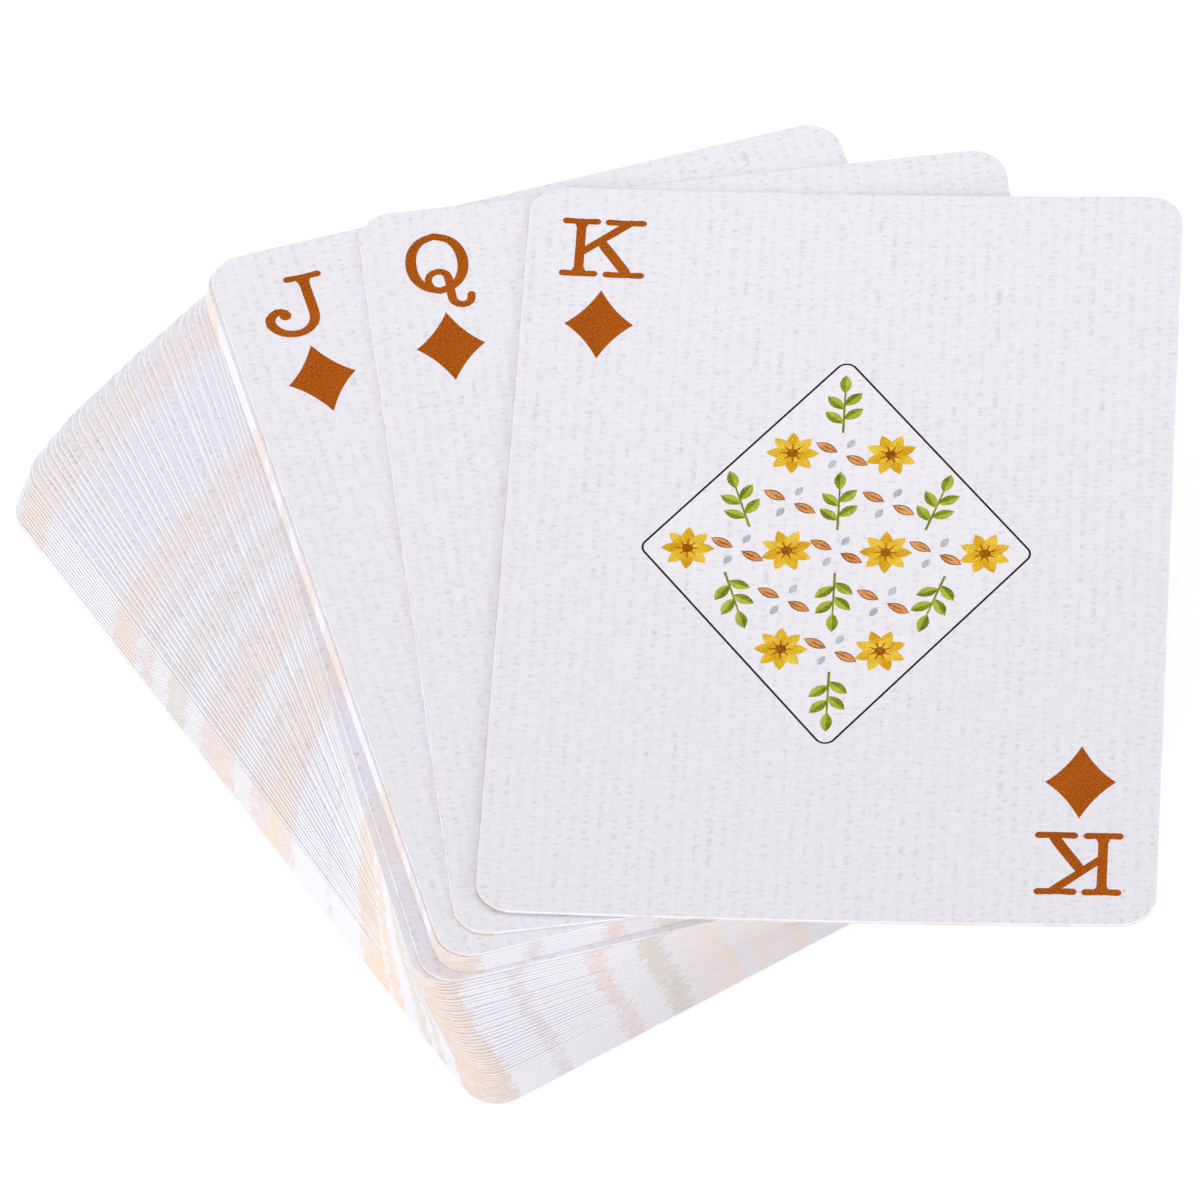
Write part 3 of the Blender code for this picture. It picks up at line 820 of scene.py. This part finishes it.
def lozenge(wide, tall, radius, steps=5):
    lean = math.atan2(tall, wide)
    sideways = (wide / 2 - radius / math.sin(lean), math.pi / 2 - lean)
    endways = (tall / 2 - radius / math.cos(lean), lean)
    loop = []
    for quarter, (reach, half) in enumerate((sideways, endways, sideways, endways)):
        for step in range(-steps, steps + 1):
            angle = half * step / steps
            corner = (reach + radius * math.cos(angle), radius * math.sin(angle))
            loop += turned([corner], 90 * quarter)
    return loop


def panel_marks():
    marks = [("black", lozenge(PANEL_WIDE, PANEL_TALL, PANEL_ROUND)),
             ("panel", lozenge(PANEL_WIDE - RULE_WIDE * PANEL_RULE, PANEL_TALL - RULE_TALL * PANEL_RULE,
                               PANEL_ROUND - PANEL_RULE))]
    for i in range(4):
        for j in range(4):
            x, y = (i + j - 3) * PANEL_WIDE / 8, (i - j) * PANEL_TALL / 8
            if (i + j) % 2 == 0:
                marks += daisy(x, y, 1.0, 22.5 * (i % 2))
            else:
                splay = {1: 18, 5: -18}.get(i + j, 0)
                marks += sprig(x, y, (0 if y > 0 else 180) + splay, PANEL_LEAF)
    for i in range(1, 4):
        for j in range(1, 4):
            x, y = (i + j - 4) * PANEL_WIDE / 8, (i - j) * PANEL_TALL / 8
            marks += fallen_leaf(x - 0.4, y + 0.2, 62, PANEL_LEAF)
            marks += fallen_leaf(x + 0.4, y - 0.2, 242, PANEL_LEAF)
            marks += seed(x + 0.5, y + 0.7, -30, PANEL_SEED) + seed(x - 0.5, y - 0.7, 150, PANEL_SEED)
    return marks


# The top card's right side has risen by about 1 mm. Its grid is finer, so that it bends smoothly.
KING_CURL = {"grid": 4.0, "bow": 0.49, "twist": 0.07, "roll": 0.465, "raised": 0.125}

for suit in SUITS:
    for rank in ("jack", "queen", "king"):
        curl = KING_CURL if (rank, suit) == ("king", "diamonds") else {}
        make_card(f"{rank}_of_{suit}", index_marks(LETTERS[rank], suit) + panel_marks(), **curl)

# The stage
# A plain white table under soft studio light: a low key lamp from the right, low fills from the left
# and the front, and a small lamp over the far right of the deck.
TABLE_RINGS = (0.4, 1.5, 4.0)
TABLE_SIDES = 48
TABLE_DROP = 0.0002


# What the camera sees directly, in a reflection or through glass is shown plain white.
def shown_plain(tree):
    ray = add(tree, "ShaderNodeLightPath").outputs
    seen = add(tree, "ShaderNodeMath", {0: ray["Is Camera Ray"], 1: ray["Is Glossy Ray"]},
               operation="MAXIMUM")
    shown = add(tree, "ShaderNodeMath", {0: seen.outputs[0], 1: ray["Is Transmission Ray"]},
                operation="MAXIMUM")
    return shown.outputs[0]


# Matt white paint with a faint mottle about 0.2 m wide.
def stage_floor():
    mesh = bpy.data.meshes.new("white_table")
    turns = [2 * math.pi * i / TABLE_SIDES for i in range(TABLE_SIDES)]
    spots = [(r * math.cos(turn), r * math.sin(turn), -TABLE_DROP) for r in TABLE_RINGS for turn in turns]
    faces = [list(range(TABLE_SIDES))]
    for ring in range(len(TABLE_RINGS) - 1):
        for i in range(TABLE_SIDES):
            a = ring * TABLE_SIDES + i
            b = ring * TABLE_SIDES + (i + 1) % TABLE_SIDES
            faces.append([a, a + TABLE_SIDES, b + TABLE_SIDES, b])
    mesh.from_pydata(spots, [], faces)
    floor = bpy.data.objects.new("white_table", mesh)
    bpy.context.scene.collection.objects.link(floor)
    material, tree, surface = blank_material("matt_white_table_paint")
    mottle = add(tree, "ShaderNodeTexNoise", {"Scale": 40.0, "Detail": 2.0})
    paint = add(tree, "ShaderNodeMix",
                {"Factor": mottle.outputs["Fac"], 6: linear("#ECECEE"), 7: linear("#EFEFF1")},
                data_type="RGBA")
    shown = shown_plain(tree)
    lit = add(tree, "ShaderNodeMix",
              {"Factor": shown, 6: paint.outputs[2], 7: linear("#8C8C8E")}, data_type="RGBA")
    glow = add(tree, "ShaderNodeMath", {0: shown, 1: 0.82}, operation="MULTIPLY")
    tree.links.new(lit.outputs[2], surface.inputs["Base Color"])
    surface.inputs["Roughness"].default_value = 0.9
    surface.inputs["Specular IOR Level"].default_value = 0.0
    surface.inputs["Emission Color"].default_value = (1.0, 1.0, 1.0, 1.0)
    tree.links.new(glow.outputs[0], surface.inputs["Emission Strength"])
    mesh.materials.append(material)


stage_floor()

world = bpy.data.worlds.new("studio")
bpy.context.scene.world = world
world.use_nodes = True
sky = world.node_tree
sky.nodes.clear()
strength = add(sky, "ShaderNodeMapRange", {"Value": shown_plain(sky), "To Min": 0.55, "To Max": 1.0})
air = add(sky, "ShaderNodeBackground", {"Color": (1.0, 1.0, 1.0, 1.0), "Strength": strength.outputs[0]})
add(sky, "ShaderNodeOutputWorld", {"Surface": air.outputs[0]})


def lamp(name, place, target, size, watts):
    light = bpy.data.lights.new(name, "AREA")
    light.shape = "DISK"
    light.size = size
    light.energy = watts
    holder = bpy.data.objects.new(name, light)
    bpy.context.scene.collection.objects.link(holder)
    holder.visible_camera = False
    holder.location = place
    holder.rotation_euler = (Vector(target) - Vector(place)).to_track_quat("-Z", "Y").to_euler()


DECK = (0.0, 0.0, 0.0)
lamp("overhead_lamp_far_right", (0.09, 0.10, 0.20), (0.05, 0.05, 0.0), 0.20, 0.114)
lamp("low_key_lamp_right", (1.10, -0.60, 0.55), DECK, 0.5, 2.6)
lamp("low_fill_left", (-1.10, -0.05, 0.34), DECK, 0.9, 7.7)
lamp("low_fill_front", (0.36, -0.98, 0.24), DECK, 0.8, 3.1)

camera = bpy.data.cameras.new("photo_camera")
camera.sensor_width = 36.0
camera.lens = 390.43
camera.clip_start = 0.1
camera.clip_end = 50.0
viewer = bpy.data.objects.new("photo_camera", camera)
bpy.context.scene.collection.objects.link(viewer)
viewer.location = (-0.38519, -0.66813, 0.97487)
viewer.rotation_euler = (0.673069, 0.025794, -0.565432)
bpy.context.scene.camera = viewer
bpy.context.scene.view_settings.view_transform = "Standard"
